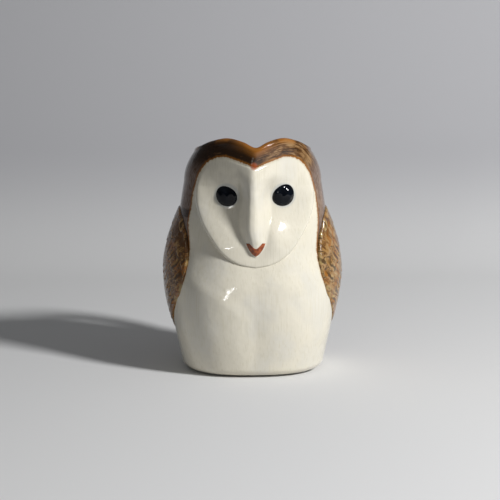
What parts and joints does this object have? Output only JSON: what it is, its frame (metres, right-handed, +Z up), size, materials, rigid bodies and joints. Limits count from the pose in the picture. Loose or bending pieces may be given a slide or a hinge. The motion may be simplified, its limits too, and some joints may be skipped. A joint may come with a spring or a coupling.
{
  "type": "owl pitcher",
  "caption": "Small glazed ceramic pitcher shaped as a standing barn owl, with a heart-shaped face, folded wings, an open top that pours over the brow, and a loop handle at the back.",
  "frame": {"origin": "middle of the foot ring, on the table", "axes": "+Z up, the owl looks along -Y, +X to the owl's left"},
  "size_m": [0.0844, 0.0888, 0.1099],
  "materials": {
    "cream_glaze": "clear gloss glaze over cream underglaze, brown over the head",
    "face_glaze": "clear gloss glaze over white underglaze",
    "brown_glaze": "clear gloss glaze over brushed brown and ochre underglaze",
    "eye_glaze": "clear gloss glaze over blue-black",
    "beak_glaze": "clear gloss glaze over rust brown",
    "bare_clay": "unglazed fired clay"
  },
  "bodies": {
    "root": {"body_shell": "cream_glaze", "foot_ring": "bare_clay", "facial_disc": "face_glaze", "nose_ridge": "face_glaze", "beak": "beak_glaze", "eye_left": "eye_glaze", "eye_right": "eye_glaze", "wing_left": "brown_glaze", "wing_right": "brown_glaze", "tail": "brown_glaze", "handle": "brown_glaze"}
  },
  "joints": []
}
